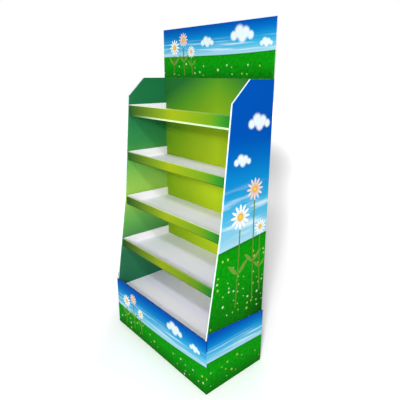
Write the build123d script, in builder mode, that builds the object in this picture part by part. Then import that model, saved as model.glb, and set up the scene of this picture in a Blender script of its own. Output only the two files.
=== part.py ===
from build123d import *
import os

os.makedirs("parts", exist_ok=True)

# Floor-standing shop display of folded corrugated board: a wrap that makes the back and two
# hollow side walls, four lipped shelves, a base deck on legs, a sleeve round the foot and a
# header card. Sizes in millimetres, Z up, front towards -Y, origin on the floor at the centre.

# Board
board = 3.0
hollow = 4.0
fold_radius = 1.5
fit_gap = 1.0
slot_gap = 0.5

# Body wrap
body_width = 660.0
body_height = 1192.0
base_depth = 314.0
waist_height = 650.0
waist_depth = 250.0
shoulder_drop = 78.0
shoulder_depth = 208.0
top_depth = 125.0
flap_width = 45.0

# Foot of the stand
front_wall_height = 242.0
sleeve_front_height = 272.0
sleeve_rear_height = 250.0
deck_height = 206.0
lap_width = 40.0
seam_width = 1.0

# Shelves, numbered from the top
shelf_count = 4
lowest_lip_top = 450.0
top_lip_drop = 115.0
lip_height = 42.0
top_lip_border = 8.0
side_tab_width = 60.0
rear_tab_width = 70.0
rear_tab_spread = 360.0
tab_corner = 4.0

# Header card
header_height = 208.0
tongue_height = 110.0

# Positions worked out from the sizes above
wall = 2 * board + hollow
half_width = body_width / 2
bay_half = half_width - wall
shelf_half = bay_half - fit_gap
rear = (base_depth - fit_gap) / 2
front = rear - base_depth
back_rear = rear - board
back_front = back_rear - board
shelf_rear = back_front - fit_gap
sleeve_half_width = half_width + fit_gap + board
sleeve_half_depth = (base_depth + fit_gap) / 2 + board
tab_reach = half_width - board - hollow * 0.35
tongue_width = body_width - 2 * (flap_width + fit_gap)
shelf_pitch = (body_height - top_lip_drop - lowest_lip_top) / (shelf_count - 1)

side_outline = [
    (rear, 0),
    (front, 0),
    (front, front_wall_height),
    (rear - waist_depth, waist_height),
    (rear - shoulder_depth, body_height - shoulder_drop),
    (rear - top_depth, body_height),
    (rear, body_height),
]


def front_edge(height):
    """Depth position of the side wall's front edge, straight between the corners of its outline."""
    corners = side_outline[1:6]
    for (y_low, z_low), (y_high, z_high) in zip(corners, corners[1:]):
        if z_low < z_high and z_low <= height <= z_high:
            return y_low + (y_high - y_low) * (height - z_low) / (z_high - z_low)
    return corners[-1][0]


# Each shelf: top of its lip, front of its lip, and the middles of its two hook tabs
shelves = []
for step in range(shelf_count):
    lip_top = lowest_lip_top + shelf_pitch * (shelf_count - 1 - step)
    lip_front = front_edge(lip_top) + fit_gap
    run = shelf_rear - lip_front
    shelves.append((lip_top, lip_front, [lip_front + 0.30 * run, lip_front + 0.76 * run]))


# Body wrap: one sheet folded into a back panel, two inner side leaves, a narrow spine round each
# front edge and two outer leaves, closed at the rear by flaps glued to the back panel.
with BuildPart() as body_wrap:
    with BuildSketch(Plane.YZ.offset(bay_half)) as side_face:
        Polygon(*side_outline, align=None)
    extrude(amount=wall)
    # the spine is creased along both edges of the leaves
    spine_edges = body_wrap.edges().filter_by(
        lambda e: abs(e.center().X - half_width + wall / 2) > wall / 4
        and e.center().Y < rear - 0.6 * top_depth
        and e.center().Z > 1
        and abs((e @ 0).Z - (e @ 1).Z) > 1
    )
    fillet(spine_edges, radius=fold_radius)
    # air space between the two leaves, open at the floor
    with BuildSketch(Plane.YZ.offset(bay_half + board)) as air_space:
        Polygon(*side_outline, align=None)
        offset(amount=-board, kind=Kind.INTERSECTION, mode=Mode.REPLACE)
        with Locations(((front + rear) / 2, board / 2)):
            Rectangle(base_depth - 2 * board, board * 3)
    extrude(amount=hollow, mode=Mode.SUBTRACT)
    # slots in the inner leaf, where the hook tabs of the shelves rest on the lower edge
    with BuildSketch(Plane.YZ.offset(bay_half)) as hook_slots:
        for lip_top, lip_front, tab_middles in shelves:
            with Locations(*[(y, lip_top - board) for y in tab_middles]):
                Rectangle(
                    side_tab_width + 2 * fit_gap, board + slot_gap, align=(Align.CENTER, Align.MIN)
                )
    extrude(amount=board, mode=Mode.SUBTRACT)
    # rear flap turned in from the outer leaf
    with BuildSketch(Plane.XY) as flap_plan:
        with Locations((half_width, back_rear)):
            Rectangle(flap_width, board, align=(Align.MAX, Align.MIN))
    extrude(amount=body_height)
    rear_folds = body_wrap.edges().filter_by(Axis.Z).sort_by(lambda e: e.center().X + e.center().Y)
    fillet(rear_folds[-1], radius=fold_radius)
    mirror(about=Plane.YZ)
    # back panel between the inner leaves
    with BuildSketch(Plane.XY) as back_plan:
        with Locations((0, back_front)):
            Rectangle(2 * (bay_half + board), board, align=(Align.CENTER, Align.MIN))
    extrude(amount=body_height)
    # slots in the back panel for the rear tabs of the shelves
    with BuildSketch(Plane.XZ.offset(-back_rear)) as rear_slots:
        for lip_top, lip_front, tab_middles in shelves:
            floor_under = lip_top - lip_height
            with Locations((-rear_tab_spread / 2, floor_under), (rear_tab_spread / 2, floor_under)):
                Rectangle(
                    rear_tab_width + 2 * fit_gap, board + slot_gap, align=(Align.CENTER, Align.MIN)
                )
    extrude(amount=board, mode=Mode.SUBTRACT)
body_wrap.part.label = "body_wrap"
export_step(body_wrap.part, "parts/body_wrap.step")


# Shelves: one sheet each, with a floor, two side upstands, a lip folded double along the front,
# hook tabs turned out of the upstands and two tabs on the rear edge of the floor. The lip of the
# top shelf hangs a little below its floor as a pale border.
for index, (lip_top, lip_front, tab_middles) in enumerate(shelves, start=1):
    floor_under = lip_top - lip_height
    lip_back = lip_front + 2 * board
    with BuildPart() as shelf:
        with BuildSketch(Plane.XY.offset(floor_under)) as floor_plan:
            with Locations((0, lip_front)):
                Rectangle(2 * shelf_half, shelf_rear - lip_front, align=(Align.CENTER, Align.MIN))
            with Locations((-rear_tab_spread / 2, shelf_rear), (rear_tab_spread / 2, shelf_rear)):
                Rectangle(rear_tab_width, rear - shelf_rear, align=(Align.CENTER, Align.MIN))
            fillet(floor_plan.vertices().group_by(Axis.Y)[-1], radius=tab_corner)
        extrude(amount=board)
        # lip, folded over at the top
        with BuildSketch(Plane.XY.offset(floor_under)) as lip_plan:
            with Locations((0, lip_front)):
                Rectangle(2 * shelf_half, 2 * board, align=(Align.CENTER, Align.MIN))
        extrude(amount=lip_height)
        lip_edges = shelf.edges().filter_by(Axis.X).filter_by(lambda e: e.length > shelf_half)
        fillet(lip_edges.group_by(Axis.Z)[-1], radius=board * 0.9)
        if index == 1:
            with BuildSketch(Plane.XY.offset(floor_under - top_lip_border)) as border_plan:
                with Locations((0, lip_front)):
                    Rectangle(2 * shelf_half, board, align=(Align.CENTER, Align.MIN))
            extrude(amount=top_lip_border)
        else:
            front_fold = shelf.edges().filter_by(Axis.X).group_by(Axis.Y)[0].sort_by(Axis.Z)[0]
            fillet(front_fold, radius=fold_radius)
        # side upstands behind the lip
        with BuildSketch(Plane.XY.offset(floor_under)) as upstand_plan:
            with Locations((shelf_half, lip_back + fit_gap)):
                Rectangle(board, shelf_rear - lip_back - fit_gap, align=(Align.MAX, Align.MIN))
            mirror(about=Plane.YZ)
        extrude(amount=lip_height)
        side_folds = shelf.edges().filter_by(Axis.Y).filter_by(
            lambda e: abs(e.center().X) > shelf_half - 0.01
            and abs(e.center().Z - floor_under) < 0.01
        )
        fillet(side_folds, radius=fold_radius)
        # hook tabs turned out at the top of the upstands
        with BuildSketch(Plane.XY.offset(lip_top - board)) as tab_plan:
            with Locations(*[(shelf_half, y) for y in tab_middles]):
                Rectangle(tab_reach - shelf_half, side_tab_width, align=(Align.MIN, Align.CENTER))
            fillet(tab_plan.vertices().group_by(Axis.X)[-1], radius=tab_corner)
            mirror(about=Plane.YZ)
        extrude(amount=board)
    shelf.part.label = f"shelf_{index}"
    export_step(shelf.part, f"parts/shelf_{index}.step")


# Base deck: one sheet, turned up and glued behind the front of the sleeve, and turned down to the
# floor on the other three sides, so it stands on its own legs.
with BuildPart() as base_deck:
    with BuildSketch(Plane.XY.offset(deck_height - board)) as deck_plan:
        with Locations((0, front)):
            Rectangle(2 * shelf_half, shelf_rear - front, align=(Align.CENTER, Align.MIN))
    extrude(amount=board)
    with BuildSketch(Plane.XY.offset(deck_height - board)) as deck_lip_plan:
        with Locations((0, front)):
            Rectangle(2 * shelf_half, board, align=(Align.CENTER, Align.MIN))
    extrude(amount=front_wall_height - deck_height + board)
    with BuildSketch(Plane.XY) as leg_plan:
        with Locations((shelf_half, front + board)):
            Rectangle(board, shelf_rear - front - 2 * board - fit_gap, align=(Align.MAX, Align.MIN))
        mirror(about=Plane.YZ)
        with Locations((0, shelf_rear)):
            Rectangle(2 * (shelf_half - board - fit_gap), board, align=(Align.CENTER, Align.MAX))
    extrude(amount=deck_height)
    lip_fold = base_deck.edges().filter_by(Axis.X).group_by(Axis.Y)[0].sort_by(Axis.Z)[0]
    fillet(lip_fold, radius=fold_radius)
    deck_folds = base_deck.edges().filter_by(Axis.Y).filter_by(
        lambda e: abs(e.center().X) > shelf_half - 0.01 and e.center().Z > deck_height - 0.01
    )
    fillet(deck_folds, radius=fold_radius)
base_deck.part.label = "base_deck"
export_step(base_deck.part, "parts/base_deck.step")


# Dividers under the deck: one long board and two cross boards, halved into each other.
divider_height = deck_height - board
divider_half_length = shelf_half - board - 2 * fit_gap
cross_front = front + board + fit_gap
cross_rear = shelf_rear - board - fit_gap
cross_middle = (cross_front + cross_rear) / 2
cross_offset = divider_half_length / 2
halving = board + 2 * slot_gap
halving_depth = divider_height / 2

with BuildPart() as divider_long:
    with BuildSketch(Plane.XZ.offset(-cross_middle - board / 2)) as long_face:
        Rectangle(2 * divider_half_length, divider_height, align=(Align.CENTER, Align.MIN))
        with Locations((-cross_offset, divider_height), (cross_offset, divider_height)):
            Rectangle(halving, halving_depth, align=(Align.CENTER, Align.MAX), mode=Mode.SUBTRACT)
    extrude(amount=board)
divider_long.part.label = "divider_long"
export_step(divider_long.part, "parts/divider_long.step")

for side, name in ((-1, "divider_left"), (1, "divider_right")):
    with BuildPart() as divider_cross:
        with BuildSketch(Plane.YZ.offset(side * cross_offset - board / 2)) as cross_face:
            with Locations((cross_middle, 0)):
                Rectangle(cross_rear - cross_front, divider_height, align=(Align.CENTER, Align.MIN))
            with Locations((cross_middle, 0)):
                Rectangle(halving, halving_depth, align=(Align.CENTER, Align.MIN), mode=Mode.SUBTRACT)
        extrude(amount=board)
    divider_cross.part.label = name
    export_step(divider_cross.part, f"parts/{name}.step")


# Base sleeve: a printed band creased at four corners, cut lower along the front so the deck shows,
# drawn tight against the front of the body and closed by a glued lap in the rear wall.
with BuildPart() as base_sleeve:
    with BuildSketch(Plane.XY) as sleeve_plan:
        Rectangle(2 * sleeve_half_width, 2 * sleeve_half_depth)
        Rectangle(2 * (sleeve_half_width - board), 2 * (sleeve_half_depth - board), mode=Mode.SUBTRACT)
    extrude(amount=sleeve_front_height)
    outer_folds = base_sleeve.edges().filter_by(Axis.Z).filter_by(
        lambda e: abs(e.center().X) > sleeve_half_width - 0.01
    )
    fillet(outer_folds, radius=fold_radius)
    # top edge: low along the front wall, rising beside the spine, then falling to the rear wall
    with BuildSketch(Plane.YZ.offset(-sleeve_half_width)) as top_cut:
        Polygon(
            (-sleeve_half_depth, front_wall_height),
            (front, front_wall_height),
            (front_edge(sleeve_front_height), sleeve_front_height),
            (sleeve_half_depth, sleeve_rear_height),
            (sleeve_half_depth, sleeve_front_height + board),
            (-sleeve_half_depth, sleeve_front_height + board),
            align=None,
        )
    extrude(amount=2 * sleeve_half_width, mode=Mode.SUBTRACT)
    # glued lap behind the seam
    with BuildSketch(Plane.XY) as lap_plan:
        with Locations((0, sleeve_half_depth - board)):
            Rectangle(lap_width, board, align=(Align.CENTER, Align.MAX))
    extrude(amount=sleeve_rear_height)
    with BuildSketch(Plane.XY) as seam_plan:
        with Locations((-lap_width / 2 + 2 * seam_width, sleeve_half_depth)):
            Rectangle(seam_width, board, align=(Align.CENTER, Align.MAX))
    extrude(amount=sleeve_front_height, mode=Mode.SUBTRACT)
base_sleeve.part.label = "base_sleeve"
export_step(base_sleeve.part, "parts/base_sleeve.step")


# Header card: a flat card whose shoulders rest on the rear flaps of the body, with a tongue glued
# to the rear of the back panel between the flaps.
with BuildPart() as header_card:
    with BuildSketch(Plane.XZ.offset(-rear)) as header_face:
        with Locations((0, body_height)):
            Rectangle(body_width, header_height, align=(Align.CENTER, Align.MIN))
        with Locations((0, body_height)):
            Rectangle(tongue_width, tongue_height, align=(Align.CENTER, Align.MAX))
    extrude(amount=board)
header_card.part.label = "header_card"
export_step(header_card.part, "parts/header_card.step")
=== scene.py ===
import math
import bpy
import numpy as np
from mathutils import Matrix, Vector


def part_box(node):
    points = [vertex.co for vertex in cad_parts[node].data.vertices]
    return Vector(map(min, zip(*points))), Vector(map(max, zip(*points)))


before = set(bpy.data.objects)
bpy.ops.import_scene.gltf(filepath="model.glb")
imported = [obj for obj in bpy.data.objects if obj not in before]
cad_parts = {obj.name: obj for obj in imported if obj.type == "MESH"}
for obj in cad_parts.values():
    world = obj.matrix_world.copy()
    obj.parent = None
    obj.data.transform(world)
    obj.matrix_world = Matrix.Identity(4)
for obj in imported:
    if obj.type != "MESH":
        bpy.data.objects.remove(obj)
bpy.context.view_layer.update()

# Body wrap: one large sheet of white-lined corrugated board, printed and varnished, folded into the
# back panel and two hollow side walls. The spine along each front edge stays white, the outside carries
# a sky and a meadow, the inside a green wash, and the reverse at the rear is bare grey liner.
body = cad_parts["body_wrap"]
body_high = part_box("body_wrap")[1]
board_thick = 0.003
flute_pitch = 0.0064
wall_thick = 0.010
slack = 0.0005
wall_outside = body_high.x
wall_inside = wall_outside - wall_thick
back_face = body_high.y - 2 * board_thick


def ink_colour(red, green, blue):
    """Printer's 0 to 255 values as light: with v the value over 255, v / 12.92 up to 0.04045,
    else (v + 0.055) / 1.055 to the power 2.4."""
    v = np.array([red, green, blue]) / 255
    light = np.where(v <= 0.04045, v / 12.92, ((v + 0.055) / 1.055) ** 2.4)
    return (*light.tolist(), 1.0)


class BoardFinish:
    """The finish of one board. Each method adds a node, joins what it is given and gives its output."""

    def __init__(self, name, shine):
        self.material = bpy.data.materials.new(name)
        self.material.use_nodes = True
        self.tree = self.material.node_tree
        self.face = self.tree.nodes["Principled BSDF"]
        self.face.inputs["Specular IOR Level"].default_value = shine
        self.place = self.add("ShaderNodeTexCoord").outputs["Object"]
        self.x, self.y, self.z = self.three(self.place)

    def add(self, kind, **settings):
        """A new node of this kind, with its settings."""
        node = self.tree.nodes.new(kind)
        for key, value in settings.items():
            setattr(node, key, value)
        return node

    def join(self, value, socket):
        """Links an output to the socket, or writes a constant on it."""
        if isinstance(value, bpy.types.NodeSocket):
            self.tree.links.new(value, socket)
        else:
            socket.default_value = value

    def three(self, vector):
        """The three numbers of a point or colour."""
        node = self.add("ShaderNodeSeparateXYZ")
        self.join(vector, node.inputs[0])
        return node.outputs

    def calc(self, operation, *terms, clamp=False):
        """One sum, product or comparison of numbers."""
        node = self.add("ShaderNodeMath", operation=operation, use_clamp=clamp)
        for term, socket in zip(terms, node.inputs):
            self.join(term, socket)
        return node.outputs[0]

    def both(self, *masks):
        """Product of the masks: 1 only where every one of them is."""
        total = masks[0]
        for mask in masks[1:]:
            total = self.calc("MULTIPLY", total, mask)
        return total

    def either(self, *masks):
        """Largest of the masks."""
        total = masks[0]
        for mask in masks[1:]:
            total = self.calc("MAXIMUM", total, mask)
        return total

    def within(self, value, low, high):
        """1 where low < value < high, else 0."""
        return self.both(self.calc("GREATER_THAN", value, low), self.calc("LESS_THAN", value, high))

    def near(self, value, place):
        """1 where the value is less than the slack away from the place, else 0."""
        return self.within(value, place - slack, place + slack)

    def fade(self, value, start, end):
        """Smooth step: 0 at start, 1 at end, 3 t^2 - 2 t^3 between."""
        node = self.add("ShaderNodeMapRange", interpolation_type="SMOOTHSTEP")
        for term, key in ((value, "Value"), (start, "From Min"), (end, "From Max")):
            self.join(term, node.inputs[key])
        return node.outputs["Result"]

    def ramp(self, value, stops):
        """Colour between the listed (position, colour) stops, straight from one to the next."""
        node = self.add("ShaderNodeValToRGB")
        stripe = node.color_ramp
        while len(stripe.elements) < len(stops):
            stripe.elements.new(0.5)
        for element, (position, colour) in zip(stripe.elements, stops):
            element.position, element.color = position, ink_colour(*colour)
        self.join(value, node.inputs[0])
        return node.outputs[0]

    def over(self, amount, under, top):
        """Colour under, covered by colour top where amount is 1."""
        node = self.add("ShaderNodeMix", data_type="RGBA")
        for value, socket in ((amount, node.inputs[0]), (under, node.inputs[6]), (top, node.inputs[7])):
            self.join(value, socket)
        return node.outputs[2]

    def shade(self, colour, factor):
        """Colour times a grey factor."""
        grey = self.add("ShaderNodeCombineXYZ")
        for socket in grey.inputs:
            self.join(factor, socket)
        node = self.add("ShaderNodeMix", data_type="RGBA", blend_type="MULTIPLY")
        node.inputs[0].default_value = 1.0
        self.join(colour, node.inputs[6])
        self.join(grey.outputs[0], node.inputs[7])
        return node.outputs[2]

    def sheet(self, across, up, stretch=(1.0, 1.0)):
        """Point on the flat sheet: (across, up), each times its own stretch."""
        node = self.add("ShaderNodeCombineXYZ")
        self.join(self.calc("MULTIPLY", across, stretch[0]), node.inputs[0])
        self.join(self.calc("MULTIPLY", up, stretch[1]), node.inputs[1])
        return node.outputs[0]

    def mottle(self, where, scale, detail=2.0):
        """Cloudy noise from 0 to 1, about scale blotches to the metre."""
        node = self.add("ShaderNodeTexNoise")
        self.join(where, node.inputs["Vector"])
        node.inputs["Scale"].default_value = scale
        node.inputs["Detail"].default_value = detail
        return node.outputs[0]

    def rough(self, base, spread):
        """Roughness: the base plus the spread times a cloudy noise."""
        return self.calc("MULTIPLY_ADD", self.mottle(self.place, 40, 3), spread, base)

    def distance(self, side, rise):
        """Square root of side^2 + rise^2."""
        return self.calc("SQRT", self.calc("MULTIPLY_ADD", side, side, self.calc("MULTIPLY", rise, rise)))

    def flutes(self, along):
        """Washboard of the fluted core under the liner: 0.5 + 0.5 sin(2 pi along / pitch)."""
        turn = self.calc("MULTIPLY", along, 2 * math.pi / flute_pitch)
        return self.calc("MULTIPLY_ADD", self.calc("SINE", turn), 0.5, 0.5)

    def lay_on(self, node, colour, roughness, along):
        """Joins colour and roughness, raises flutes and fibre as a bump, and gives the node this finish."""
        self.join(colour, self.face.inputs["Base Color"])
        self.join(roughness, self.face.inputs["Roughness"])
        fibre = self.mottle(self.place, 850, 3)
        bump = self.add("ShaderNodeBump")
        bump.inputs["Distance"].default_value = 0.00012
        self.join(self.calc("MULTIPLY_ADD", self.flutes(along), 0.45, fibre), bump.inputs["Height"])
        self.join(bump.outputs[0], self.face.inputs["Normal"])
        node.data.materials.clear()
        node.data.materials.append(self.material)


def liner_paper(board, along, tint):
    """White liner: the tint times about 0.95 to 1, by large blotches and fine fibre, and a little darker
    over the flutes beneath as painted shade of their washboard.
    """
    tone = board.calc("MULTIPLY_ADD", board.mottle(board.place, 14), 0.03, 0.955)
    tone = board.calc("MULTIPLY_ADD", board.mottle(board.place, 900, 3), 0.035, tone)
    # painted shade of the washboard: a little darker over each flute
    tone = board.calc("MULTIPLY_ADD", board.flutes(along), -0.014, tone)
    return board.shade(ink_colour(*tint), tone)


def meadow_print(board, across, up, horizon, top, reach, bottom):
    """Sky over grass. The sky's colour goes by reach (up - horizon) / (top - horizon), with pale streaks
    of noise stretched sideways low in it; the grass is mottled, has blades and darkens to the bottom."""
    above = board.calc("SUBTRACT", up, horizon)
    rise = board.calc("DIVIDE", above, board.calc("SUBTRACT", top, horizon))
    rise = board.calc("MULTIPLY", rise, reach, clamp=True)
    sky = board.ramp(rise, [(0.0, (168, 214, 230)), (0.10, (134, 200, 226)), (0.22, (88, 184, 220)),
                            (0.38, (44, 166, 214)), (0.57, (12, 136, 202)), (0.74, (2, 110, 190)),
                            (0.92, (0, 85, 176)), (1.0, (0, 79, 174))])
    wisp = board.mottle(board.sheet(across, rise, (2.6, 9.0)), 1.0, 4)
    low_sky = board.both(board.fade(rise, 0.01, 0.12), board.fade(rise, 0.62, 0.24))
    streak = board.both(board.fade(wisp, 0.47, 0.62), low_sky)
    sky = board.over(board.calc("MULTIPLY", streak, 0.76), sky, ink_colour(226, 242, 250))
    depth = board.calc("DIVIDE", above, board.calc("SUBTRACT", bottom, horizon), clamp=True)
    grass = board.ramp(depth, [(0.0, (6, 112, 14)), (0.05, (9, 145, 8)), (0.35, (9, 147, 12)),
                               (0.65, (9, 130, 10)), (1.0, (9, 102, 9))])
    tuft = board.mottle(board.sheet(across, up), 70, 4)
    blade = board.mottle(board.sheet(across, up, (420.0, 130.0)), 1.0, 2)
    grass = board.shade(grass, board.calc("MULTIPLY_ADD", tuft, 1.1, 0.45))
    grass = board.over(board.both(board.fade(blade, 0.56, 0.76), 0.30), grass, ink_colour(62, 178, 42))
    return board.over(board.fade(above, -0.0012, 0.0012), grass, sky)


def blossom_print(board, under, across, up, head, size, foot, lean, petal_ink):
    """A blossom on a stalk: petals where r < size (0.76 + 0.24 cos 12 a), eye where r < 0.3 size, and the
    stalk within 3 mm of a parabola from the head down to the foot, lean to one side there."""
    side = board.calc("SUBTRACT", across, head[0])
    rise = board.calc("SUBTRACT", up, head[1])
    drop = board.calc("DIVIDE", rise, foot - head[1])
    sway = board.calc("MULTIPLY_ADD", board.calc("MULTIPLY", drop, drop), -lean, side)
    stalk = board.fade(board.calc("ABSOLUTE", sway), 0.0038, 0.0024)
    colour = board.over(board.both(stalk, board.within(drop, 0.0, 1.0)), under, ink_colour(96, 132, 48))
    # a pair of leaves, lens shaped, rising from the stalk at 0.62 of its length
    hang = board.calc("MULTIPLY_ADD", drop, foot - head[1], (head[1] - foot) * 0.62)
    out = board.calc("ABSOLUTE", board.calc("MULTIPLY_ADD", lean, -0.38, side))
    bow = board.calc("SUBTRACT", hang, board.calc("MULTIPLY", out, 0.9))
    reach = board.calc("DIVIDE", out, 1.1 * size)
    belly = board.calc("MULTIPLY", board.calc("SUBTRACT", 1.0, reach), reach)
    leaf = board.calc("SUBTRACT", board.calc("ABSOLUTE", bow), board.calc("MULTIPLY", belly, 0.95 * size))
    leaf = board.both(board.fade(leaf, 0.001, -0.001), board.calc("LESS_THAN", reach, 1.0))
    colour = board.over(leaf, colour, ink_colour(112, 150, 56))
    radius = board.distance(side, rise)
    turn = board.calc("MULTIPLY", board.calc("ARCTAN2", rise, side), 12)
    rim = board.calc("MULTIPLY_ADD", board.calc("COSINE", turn), 0.24 * size, 0.76 * size)
    petal = board.fade(board.calc("SUBTRACT", radius, rim), 0.0012, -0.0012)
    part = board.calc("DIVIDE", radius, size)
    deep = tuple(round(0.86 * ink) for ink in petal_ink)
    colour = board.over(petal, colour, board.ramp(part, [(0.28, deep), (0.7, petal_ink)]))
    gold = board.ramp(part, [(0.05, (250, 214, 70)), (0.3, (224, 158, 36))])
    return board.over(board.fade(part, 0.31, 0.27), colour, gold)


def cloud_print(board, under, across, up, centre, width):
    """A soft cloud: the union of five discs, each fading from its rim to half its radius."""
    mask = None
    for right, over, size in ((-0.32, -0.03, 0.17), (-0.10, 0.07, 0.24), (0.14, 0.04, 0.21),
                              (0.34, -0.04, 0.15), (0.02, -0.07, 0.20)):
        side = board.calc("SUBTRACT", across, centre[0] + right * width)
        rise = board.calc("SUBTRACT", up, centre[1] + over * width)
        disc = board.fade(board.distance(side, rise), size * width, 0.5 * size * width)
        mask = disc if mask is None else board.calc("MAXIMUM", mask, disc)
    return board.over(board.calc("MULTIPLY", mask, 0.88), under, ink_colour(236, 248, 246))


def clover_scatter(board, under, across, up, low, high):
    """Small blossoms in some cells of a jittered 28 mm grid: petals where r < size (0.7 + 0.3 cos 5 a)
    about the cell's point, size 3 to 7 mm by chance, white or pale yellow."""
    cells = board.add("ShaderNodeTexVoronoi", voronoi_dimensions="2D")
    board.join(board.sheet(across, up), cells.inputs["Vector"])
    cells.inputs["Scale"].default_value = 1 / 0.028
    cells.inputs["Randomness"].default_value = 0.8
    keep, big, spin = board.three(cells.outputs["Color"])
    point = board.three(cells.outputs["Position"])
    side = board.calc("SUBTRACT", across, point[0])
    rise = board.calc("SUBTRACT", up, point[1])
    start = board.calc("MULTIPLY", spin, 6.0)
    turn = board.calc("MULTIPLY_ADD", board.calc("ARCTAN2", rise, side), 5, start)
    rim = board.calc("MULTIPLY_ADD", board.calc("COSINE", turn), 0.3, 0.7)
    rim = board.calc("MULTIPLY", rim, board.calc("MULTIPLY_ADD", big, 0.0042, 0.0028))
    petal = board.fade(board.calc("SUBTRACT", board.distance(side, rise), rim), 0.0006, -0.0006)
    petal = board.both(petal, board.calc("LESS_THAN", keep, 0.45), board.within(point[1], low, high))
    white, yellow = ink_colour(228, 244, 208), ink_colour(206, 226, 96)
    tint = board.over(board.calc("GREATER_THAN", spin, 0.6), white, yellow)
    return board.over(board.calc("MULTIPLY", petal, 0.78), under, tint)


def worn_edge(board, colour, gap):
    """White chips along an edge: where the gap to it is under about 1.2 mm and fine noise is high."""
    chip = board.fade(board.mottle(board.place, 240, 4), 0.54, 0.66)
    worn = board.both(chip, board.fade(gap, 0.0018, 0.0006), 0.35)
    return board.over(worn, colour, ink_colour(236, 238, 240))


wrap = BoardFinish("printed_wrap_finish", 0.01)
far_side = wrap.calc("ABSOLUTE", wrap.x)
horizon_slope, horizon_height = 0.10, 0.597
skyline = wrap.calc("MULTIPLY_ADD", wrap.y, horizon_slope, horizon_height)
outside = meadow_print(wrap, wrap.y, wrap.z, skyline, top=body_high.z, reach=1.42, bottom=0.25)
# the grass is printed darker low down at the rear
dim = wrap.both(wrap.fade(wrap.z, 0.50, 0.30), wrap.fade(wrap.y, 0.02, 0.16))
outside = wrap.shade(outside, wrap.calc("MULTIPLY_ADD", dim, -0.45, 1.0))
for centre, width in (((0.085, 1.045), 0.125), ((0.005, 0.915), 0.095)):
    outside = cloud_print(wrap, outside, wrap.y, wrap.z, centre, width)
outside = clover_scatter(wrap, outside, wrap.y, wrap.z, low=0.285, high=0.560)
white_petal, rose_petal = (250, 252, 248), (244, 212, 200)
for head, size, foot, lean, petal_ink in (((0.118, 0.640), 0.032, 0.36, 0.012, white_petal),
                                          ((0.078, 0.800), 0.044, 0.32, 0.010, rose_petal),
                                          ((0.004, 0.705), 0.050, 0.33, -0.014, white_petal)):
    outside = blossom_print(wrap, outside, wrap.y, wrap.z, head, size, foot, lean, petal_ink)
outside = worn_edge(wrap, outside, wrap.calc("SUBTRACT", body_high.y, wrap.y))
wash_foot = 0.2
rise = wrap.calc("SUBTRACT", wrap.z, wash_foot)
inside_wall = wrap.ramp(rise, [(0.0, (41, 115, 83)), (0.18, (49, 118, 80)), (0.33, (104, 176, 86)),
                               (0.48, (160, 206, 88)), (0.62, (98, 174, 80)), (0.70, (60, 148, 80)),
                               (0.80, (42, 130, 77)), (1.0, (31, 118, 72))])
# the wash on the back panel, brightest a little to the right of the middle and dimmer to both sides and
# high up: 0.99 - 3 climb^2 - 1.25 off_middle
bright_across, bright_height = 0.04, 0.69
off_middle = wrap.calc("ABSOLUTE", wrap.calc("SUBTRACT", wrap.x, bright_across))
climb = wrap.calc("MAXIMUM", wrap.calc("SUBTRACT", wrap.z, bright_height), 0.0)
wash = wrap.calc("MULTIPLY_ADD", wrap.calc("MULTIPLY", climb, climb), -3.0, 0.99)
wash = wrap.calc("MULTIPLY_ADD", off_middle, -1.25, wash, clamp=True)
inside_back = wrap.ramp(wash, [(0.0, (37, 107, 48)), (0.25, (80, 145, 34)), (0.5, (120, 164, 28)),
                               (0.75, (154, 186, 32)), (1.0, (190, 216, 38))])
# painted sheen: a cloudy brightening and darkening of the inside print that stands in for faint reflections
# on its varnish
painted_sheen = wrap.calc("MULTIPLY_ADD", wrap.mottle(wrap.place, 5, 1), 0.16, 0.92)
inside_wall = wrap.shade(inside_wall, wrap.calc("MULTIPLY", painted_sheen, 0.88))
inside_back = wrap.shade(inside_back, painted_sheen)
# the outer and the inner print run round the folds by these lengths and stop at the white spine
turn_outside, turn_inside = 0.0021, 0.0019
is_outside = wrap.calc("GREATER_THAN", far_side, wall_outside - turn_outside)
is_inside = wrap.both(wrap.within(far_side, wall_inside - slack, wall_inside + turn_inside),
                      wrap.calc("LESS_THAN", wrap.y, back_face))
is_back = wrap.both(wrap.calc("LESS_THAN", far_side, wall_inside + slack), wrap.near(wrap.y, back_face))
is_reverse = wrap.calc("GREATER_THAN", wrap.y, back_face + slack)
spine_white, reverse_grey = (234, 245, 247), (226, 223, 216)
colour = liner_paper(wrap, wrap.x, spine_white)
colour = wrap.over(is_reverse, colour, liner_paper(wrap, wrap.x, reverse_grey))
colour = wrap.over(is_outside, colour, outside)
colour = wrap.over(is_back, wrap.over(is_inside, colour, inside_wall), inside_back)
# varnish makes the print smoother than bare liner, and the inside has a second coat
bare_wrap, one_coat, two_coats = 0.60, -0.18, -0.30
gloss = wrap.calc("MULTIPLY_ADD", wrap.either(is_inside, is_back), two_coats, bare_wrap)
gloss = wrap.calc("MULTIPLY_ADD", is_outside, one_coat, gloss)
wrap.lay_on(body, colour, wrap.rough(gloss, 0.08), wrap.calc("ADD", wrap.x, wrap.y))

# Shelves: four trays of the same board, each folded from one sheet. The lip is folded double and carries
# a green wash on its front; the inside is white, and tabs of the upstands sit in slots of the walls.
shelf_half = 0.319
upstand_face = shelf_half - board_thick
tray_white, lifted_white = (244, 242, 255), (251, 247, 255)
bare_tray = 0.58
# bands on the lip: the pale fold with its painted highlight below its top, and the border and the painted
# fold shade above its foot, each as start and end
highlight_band, border_band, fold_shade_band = (0.0042, 0.0016), (0.0074, 0.0064), (0.0046, 0.0028)
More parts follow.
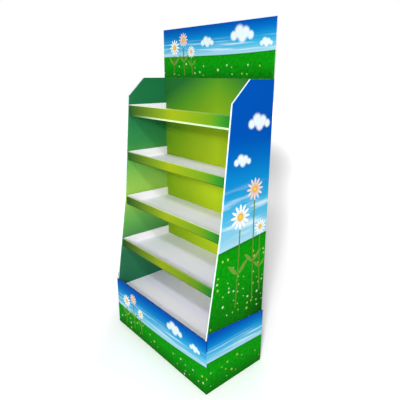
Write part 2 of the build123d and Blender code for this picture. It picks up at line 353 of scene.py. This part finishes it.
# the green ends this far below the top of the fold, and this far behind the lip's front on and off the fold
fold_drop, fold_depth, front_depth = 0.0028, 0.0045, 0.0008
# each row: the shelf, the brightness of its green, lower on the lower lips, and the strength of the fold's
# highlight on its left and right part
for number, lip_brightness, highlight_left, highlight_right in ((1, 1.0, 1.00, 0.12), (2, 1.0, 0.58, 0.50),
                                                  (3, 0.94, 0.62, 0.64), (4, 0.80, 0.40, 0.20)):
    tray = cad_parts[f"shelf_{number}"]
    tray_low, tray_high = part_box(f"shelf_{number}")
    lip = BoardFinish(f"shelf_{number}_finish", 0.04)
    run = lip.calc("MULTIPLY_ADD", lip.x, 0.5 / shelf_half, 0.5)
    green = lip.ramp(run, [(0.0, (34, 85, 34)), (0.16, (82, 119, 29)), (0.38, (124, 154, 28)),
                           (0.5, (152, 172, 20)), (0.63, (138, 166, 24)), (0.84, (108, 153, 26)),
                           (0.93, (60, 142, 34)), (1.0, (34, 120, 40))])
    tone = lip.calc("MULTIPLY_ADD", lip.mottle(lip.place, 30, 3), 0.10, 0.95)
    green = lip.shade(green, lip.calc("MULTIPLY", tone, lip_brightness))
    # the upper fold is paler: the board's pale fold with a painted highlight on it, by one amount on its
    # left part and another on its right
    fold = lip.fade(lip.z, tray_high.z - highlight_band[0], tray_high.z - highlight_band[1])
    fold_highlight = lip.calc("MULTIPLY_ADD", lip.fade(run, 0.52, 0.36), highlight_left - highlight_right, highlight_right)
    green = lip.over(lip.both(fold, fold_highlight), green, ink_colour(228, 240, 190))
    # the top shelf's lip has a pale border along its foot, fading out towards its left end, and the others
    # a dark line there: painted shade where the lower fold turns from the light
    if number == 1:
        border = lip.fade(lip.z, tray_low.z + border_band[0], tray_low.z + border_band[1])
        border = lip.both(border, lip.fade(run, 0.02, 0.42))
        pale = lip.ramp(run, [(0.2, (208, 232, 182)), (0.55, (222, 240, 190)), (0.85, (198, 232, 180))])
        green = lip.over(lip.calc("MULTIPLY", border, 0.95), green, pale)
    else:
        # painted shade along the lower fold
        fold_shade = lip.fade(lip.z, tray_low.z + fold_shade_band[0], tray_low.z + fold_shade_band[1])
        green = lip.shade(green, lip.calc("MULTIPLY_ADD", fold_shade, -0.46, 1.0))
    on_fold = lip.both(lip.calc("GREATER_THAN", lip.z, tray_high.z - fold_drop),
                       lip.calc("LESS_THAN", lip.y, tray_low.y + fold_depth))
    is_front = lip.either(on_fold, lip.calc("LESS_THAN", lip.y, tray_low.y + front_depth))
    # painted light: the paper is made whiter on the upstands and towards the rear, lifting the shade that
    # falls there
    on_upstand = lip.calc("GREATER_THAN", lip.calc("ABSOLUTE", lip.x), upstand_face - slack)
    painted_lift = lip.either(on_upstand, lip.fade(lip.y, 0.04, 0.12))
    paper = liner_paper(lip, lip.y, tray_white)
    paper = lip.over(painted_lift, paper, liner_paper(lip, lip.y, lifted_white))
    colour = lip.over(is_front, paper, green)
    gloss = lip.calc("MULTIPLY_ADD", is_front, one_coat, bare_tray)
    lip.lay_on(tray, colour, lip.rough(gloss, 0.08), lip.y)

# Base deck: one sheet of white-lined board, the lowest tier. Its front lip is glued behind the sleeve, with
# its upper edge inked like the sleeve's, and three sides turn down to the floor as legs.
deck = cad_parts["base_deck"]
deck_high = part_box("base_deck")[1]
deck_white, front_light_white = (240, 238, 255), (250, 247, 255)
edge_ink = ink_colour(4, 64, 142)
skin = 0.0004
tier = BoardFinish("base_deck_finish", 0.08)
# painted light: the paper is made whiter along the front, lifting the shadow that the sleeve's front wall
# casts on the deck
painted_front_light = tier.fade(tier.y, -0.01, -0.06)
colour = liner_paper(tier, tier.y, deck_white)
colour = tier.over(painted_front_light, colour, liner_paper(tier, tier.y, front_light_white))
colour = tier.over(tier.calc("GREATER_THAN", tier.z, deck_high.z - skin), colour, edge_ink)
tier.lay_on(deck, colour, tier.rough(0.55, 0.10), tier.y)

# Dividers: three plain brown boards, halved into each other under the deck, which they carry.
# Unprinted kraft liner, cut with slots and stood on edge.
kraft = BoardFinish("divider_finish", 0.10)
brown = kraft.ramp(kraft.mottle(kraft.place, 90, 5), [(0.3, (152, 118, 80)), (0.7, (186, 150, 106))])
along = kraft.calc("ADD", kraft.x, kraft.y)
# painted shade of the washboard: a little darker over each flute
brown = kraft.shade(brown, kraft.calc("MULTIPLY_ADD", kraft.flutes(along), -0.05, 1.0))
gloss = kraft.rough(0.72, 0.10)
for name in ("divider_long", "divider_left", "divider_right"):
    kraft.lay_on(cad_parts[name], brown, gloss, along)

# Base sleeve: a printed band of board round the foot, creased at the corners and closed by a glued lap at
# the rear. It carries the same sky and meadow, which run over its upper edge; the inside is white.
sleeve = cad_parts["base_sleeve"]
sleeve_low, sleeve_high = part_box("base_sleeve")
front_height, side_height = 0.242, 0.262
band = BoardFinish("printed_sleeve_finish", 0.01)
# the horizon on the front dips to the left of the middle: height + bend (x - dip_across)^2
dip_across, dip_height, bend = -0.10, 0.0995, 0.15
off_dip = band.calc("SUBTRACT", band.x, dip_across)
skyline = band.calc("MULTIPLY_ADD", band.calc("MULTIPLY", off_dip, off_dip), bend, dip_height)
front_print = meadow_print(band, band.x, band.z, skyline, top=front_height, reach=1.0, bottom=0.0)
for centre, width in (((0.130, 0.192), 0.115), ((0.262, 0.172), 0.070)):
    front_print = cloud_print(band, front_print, band.x, band.z, centre, width)
# painted shade: the front print is made 10% darker to offset the stronger light on the front
front_print = band.shade(front_print, 0.90)
front_print = clover_scatter(band, front_print, band.x, band.z, low=0.012, high=0.078)
for head, size, foot, lean, petal_ink in (((-0.130, 0.135), 0.024, 0.030, 0.010, white_petal),
                                          ((-0.190, 0.186), 0.028, 0.030, 0.008, rose_petal),
                                          ((-0.250, 0.152), 0.033, 0.024, -0.010, white_petal)):
    front_print = blossom_print(band, front_print, band.x, band.z, head, size, foot, lean, petal_ink)
horizon_slope, horizon_height = -0.035, 0.139
skyline = band.calc("MULTIPLY_ADD", band.y, horizon_slope, horizon_height)
side_print = meadow_print(band, band.y, band.z, skyline, top=side_height, reach=1.0, bottom=0.0)
side_print = clover_scatter(band, side_print, band.y, band.z, low=0.012, high=0.105)
off_side, off_front = band.calc("ABSOLUTE", band.x), band.calc("ABSOLUTE", band.y)
crease_turn = 0.0008
is_flank = band.calc("GREATER_THAN", off_side, sleeve_high.x - crease_turn)
is_face = band.either(band.calc("LESS_THAN", band.y, sleeve_low.y + crease_turn),
                      band.calc("GREATER_THAN", band.y, sleeve_high.y - crease_turn))
to_corner = band.either(band.calc("SUBTRACT", sleeve_high.x, off_side),
                        band.calc("SUBTRACT", sleeve_high.y, off_front))
print_ink = band.over(is_flank, front_print, side_print)
# painted shade: the print is darker within 4 mm of the creased corners, where they turn from the light
corner_shade = band.calc("MULTIPLY_ADD", band.fade(to_corner, 0.004, 0.0), -0.12, 1.0)
print_ink = band.shade(print_ink, corner_shade)
is_printed = band.either(is_flank, is_face)
sleeve_white = (242, 243, 245)
colour = band.over(is_printed, liner_paper(band, band.x, sleeve_white), print_ink)
# the upper edge lies between the two faces of the board, well above the floor
face_skin, rim_foot = 0.0002, 0.2
in_side = band.within(off_side, sleeve_high.x - board_thick + face_skin, sleeve_high.x - face_skin)
in_front = band.within(off_front, sleeve_high.y - board_thick + face_skin, sleeve_high.y - face_skin)
rim = band.both(band.either(in_side, in_front), band.calc("GREATER_THAN", band.z, rim_foot))
colour = band.over(rim, colour, edge_ink)
gloss = band.calc("MULTIPLY_ADD", is_printed, one_coat, bare_tray)
band.lay_on(sleeve, colour, band.rough(gloss, 0.08), band.calc("ADD", band.x, band.y))

# Header card: a flat printed card whose shoulders rest on the body's rear flaps, its tongue glued behind
# the back panel. Sky and meadow in front, bare grey liner behind, flutes showing on the cut edges.
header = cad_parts["header_card"]
header_low, header_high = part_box("header_card")


def cut_edge(board, along, across, middle):
    """Cut edge of the board, s being the distance from its middle over half its thickness: liner where
    |s| > 0.78, fluted core where |s - 0.68 sin(2 pi along / pitch)| < 0.3, shade in the hollows."""
    s = board.calc("DIVIDE", board.calc("SUBTRACT", across, middle), board_thick / 2)
    wave = board.calc("SINE", board.calc("MULTIPLY", along, 2 * math.pi / flute_pitch))
    core = board.calc("ABSOLUTE", board.calc("MULTIPLY_ADD", wave, -0.68, s))
    paper = board.either(board.fade(core, 0.40, 0.24), board.fade(board.calc("ABSOLUTE", s), 0.70, 0.80))
    return board.over(paper, ink_colour(176, 168, 156), ink_colour(244, 244, 244))


card = BoardFinish("printed_header_finish", 0.02)
far_side = card.calc("ABSOLUTE", card.x)
# the horizon is level on the left and bends up on the right: height + bend x^2
right_part = card.calc("MAXIMUM", card.x, 0.0)
horizon_height, bend = 1.282, 0.085
skyline = card.calc("MULTIPLY_ADD", card.calc("MULTIPLY", right_part, right_part), bend, horizon_height)
picture = meadow_print(card, card.x, card.z, skyline, top=header_high.z, reach=1.0, bottom=1.180)
for centre, width in (((0.165, 1.352), 0.13), ((-0.030, 1.334), 0.085), ((0.285, 1.318), 0.065)):
    picture = cloud_print(card, picture, card.x, card.z, centre, width)
picture = clover_scatter(card, picture, card.x, card.z, low=1.200, high=1.262)
for head, size, foot, lean, petal_ink in (((-0.132, 1.300), 0.025, 1.206, 0.010, white_petal),
                                          ((-0.186, 1.350), 0.030, 1.204, 0.008, rose_petal),
                                          ((-0.248, 1.320), 0.034, 1.202, -0.010, white_petal)):
    picture = blossom_print(card, picture, card.x, card.z, head, size, foot, lean, petal_ink)
to_end = card.calc("SUBTRACT", header_high.x, far_side)
to_top = card.calc("SUBTRACT", header_high.z, card.z)
to_foot = card.calc("SUBTRACT", card.z, body_high.z)
to_edge = card.calc("MINIMUM", card.calc("MINIMUM", to_end, to_top), to_foot)
# painted shade: the picture is made 15% darker to offset the stronger light on the card's front
picture = worn_edge(card, card.shade(picture, 0.85), to_edge)
colour = card.over(card.near(card.y, header_low.y), liner_paper(card, card.x, reverse_grey), picture)
is_end = card.calc("GREATER_THAN", far_side, header_high.x - skin)
is_top = card.calc("GREATER_THAN", card.z, header_high.z - skin)
middle = header_low.y + board_thick / 2
colour = card.over(is_top, colour, cut_edge(card, card.x, card.y, middle))
colour = card.over(is_end, colour, cut_edge(card, card.z, card.y, middle))
card.lay_on(header, colour, card.rough(0.38, 0.10), card.x)

# Studio: a pale floor that turns white away from the object, two main lamps near the camera's side, weaker
# ones round the object that keep its other sides out of the dark, and an even white world.
floor_mesh = bpy.data.meshes.new("floor")
span, drop = 14.0, -0.0004
corners = [(-span, -span, drop), (span, -span, drop), (span, span, drop), (-span, span, drop)]
floor_mesh.from_pydata(corners, [], [(0, 1, 2, 3)])
floor = bpy.data.objects.new("floor", floor_mesh)
bpy.context.scene.collection.objects.link(floor)
paint = bpy.data.materials.new("floor_paint")
paint.use_nodes = True
tree = paint.node_tree
tree.nodes.clear()
diffuse = tree.nodes.new("ShaderNodeBsdfDiffuse")
# all other light meets the paint's own colour; the camera alone sees it made up to white, by more behind
# the object, where the lamps reach less, and most outside a long zone that holds the object's shadow.
# The zone's Y runs away from the lamps; places in it count from its middle, in half widths and lengths
paint_colour = 0.95
zone_middle, zone_turn, zone_half = (-0.66, 0.88, 0), math.radians(36.87), (0.48, 3.4, 1)
spot = tree.nodes.new("ShaderNodeTexCoord")
turned = tree.nodes.new("ShaderNodeMapping")
turned.vector_type = "TEXTURE"
turned.inputs["Location"].default_value = zone_middle
turned.inputs["Rotation"].default_value = (0, 0, zone_turn)
turned.inputs["Scale"].default_value = zone_half
behind = tree.nodes.new("ShaderNodeSeparateXYZ")
away = tree.nodes.new("ShaderNodeVectorMath")
away.operation = "LENGTH"
path = tree.nodes.new("ShaderNodeLightPath")
lift = tree.nodes.new("ShaderNodeMapRange")
far = tree.nodes.new("ShaderNodeMapRange")
far.interpolation_type = "SMOOTHSTEP"
seen = tree.nodes.new("ShaderNodeMapRange")
for node, reach, amount in ((lift, (-0.62, 0.56), (1.11, 1.46)), (far, (0.75, 2.4), (0.0, 3.2)),
                            (seen, (0.0, 1.0), (paint_colour, 1.0))):
    node.inputs["From Min"].default_value, node.inputs["From Max"].default_value = reach
    node.inputs["To Min"].default_value, node.inputs["To Max"].default_value = amount
whole = tree.nodes.new("ShaderNodeMath")
whole.operation = "ADD"
out = tree.nodes.new("ShaderNodeOutputMaterial")
for start, end in ((spot.outputs["Object"], turned.inputs[0]), (turned.outputs[0], behind.inputs[0]),
                   (turned.outputs[0], away.inputs[0]), (behind.outputs["Y"], lift.inputs["Value"]),
                   (away.outputs["Value"], far.inputs["Value"]), (lift.outputs[0], whole.inputs[0]),
                   (far.outputs[0], whole.inputs[1]), (whole.outputs[0], seen.inputs["To Max"]),
                   (path.outputs["Is Camera Ray"], seen.inputs["Value"]),
                   (seen.outputs[0], diffuse.inputs["Color"]), (diffuse.outputs[0], out.inputs["Surface"])):
    tree.links.new(start, end)
floor_mesh.materials.append(paint)

world = bpy.data.worlds.new("studio")
bpy.context.scene.world = world
world.use_nodes = True
tree = world.node_tree
backdrop = tree.nodes["Background"]
backdrop.inputs["Color"].default_value = (1, 1, 1, 1)
# rays that show the backdrop find it white, and the light that it sheds is weaker
white_level, light_level = 1.0, 0.32
path = tree.nodes.new("ShaderNodeLightPath")
shown = path.outputs["Is Camera Ray"]
for kind in ("Is Glossy Ray", "Is Transmission Ray"):
    largest = tree.nodes.new("ShaderNodeMath")
    largest.operation = "MAXIMUM"
    tree.links.new(shown, largest.inputs[0])
    tree.links.new(path.outputs[kind], largest.inputs[1])
    shown = largest.outputs[0]
level = tree.nodes.new("ShaderNodeMapRange")
level.inputs["To Min"].default_value = light_level
level.inputs["To Max"].default_value = white_level
tree.links.new(shown, level.inputs["Value"])
tree.links.new(level.outputs["Result"], backdrop.inputs["Strength"])

for name, place, aim, size, power in (("bay_lamp", (2.56, -2.94, 2.1), (0, 0, 0.7), 0.42, 84),
                                      ("high_lamp", (1.84, -1.94, 3.1), (0, 0, 0.6), 0.32, 46),
                                      ("front_lamp", (1.6, -2.9, 0.85), (0, 0, 0.75), 1.3, 20),
                                      ("flank_lamp", (3.2, 0.6, 1.3), (0.3, 0, 0.6), 1.6, 2.0),
                                      ("left_lamp", (-3.4, 0.5, 1.0), (0, 0, 0.7), 1.2, 14),
                                      ("rear_lamp", (0.2, 3.6, 1.0), (0, 0, 0.7), 1.0, 16)):
    lamp = bpy.data.lights.new(name, "AREA")
    lamp.size = size
    lamp.energy = power
    holder = bpy.data.objects.new(name, lamp)
    bpy.context.scene.collection.objects.link(holder)
    holder.location = place
    holder.rotation_euler = (Vector(aim) - Vector(place)).to_track_quat("-Z", "Y").to_euler()

# Camera: where the photograph was taken from, to the right of the open front and above mid-height.
eye = Vector((1.291061, -1.028482, 1.207325))
turn, dip, roll = math.radians(49.033), math.radians(-17.291), math.radians(0.221)
focus_pixels, picture_pixels, film_width = 403.565, 400, 36.0
ahead = Vector((-math.sin(turn) * math.cos(dip), math.cos(turn) * math.cos(dip), math.sin(dip)))
level_right = Vector((math.cos(turn), math.sin(turn), 0))
level_up = level_right.cross(ahead)
right = math.cos(roll) * level_right + math.sin(roll) * level_up
above = math.cos(roll) * level_up - math.sin(roll) * level_right
lens = bpy.data.cameras.new("camera")
lens.sensor_width = film_width
lens.lens = film_width * focus_pixels / picture_pixels
viewer = bpy.data.objects.new("camera", lens)
bpy.context.scene.collection.objects.link(viewer)
viewer.matrix_world = Matrix(((right.x, above.x, -ahead.x, eye.x), (right.y, above.y, -ahead.y, eye.y),
                              (right.z, above.z, -ahead.z, eye.z), (0, 0, 0, 1)))
bpy.context.scene.camera = viewer
bpy.context.scene.view_settings.view_transform = "Standard"
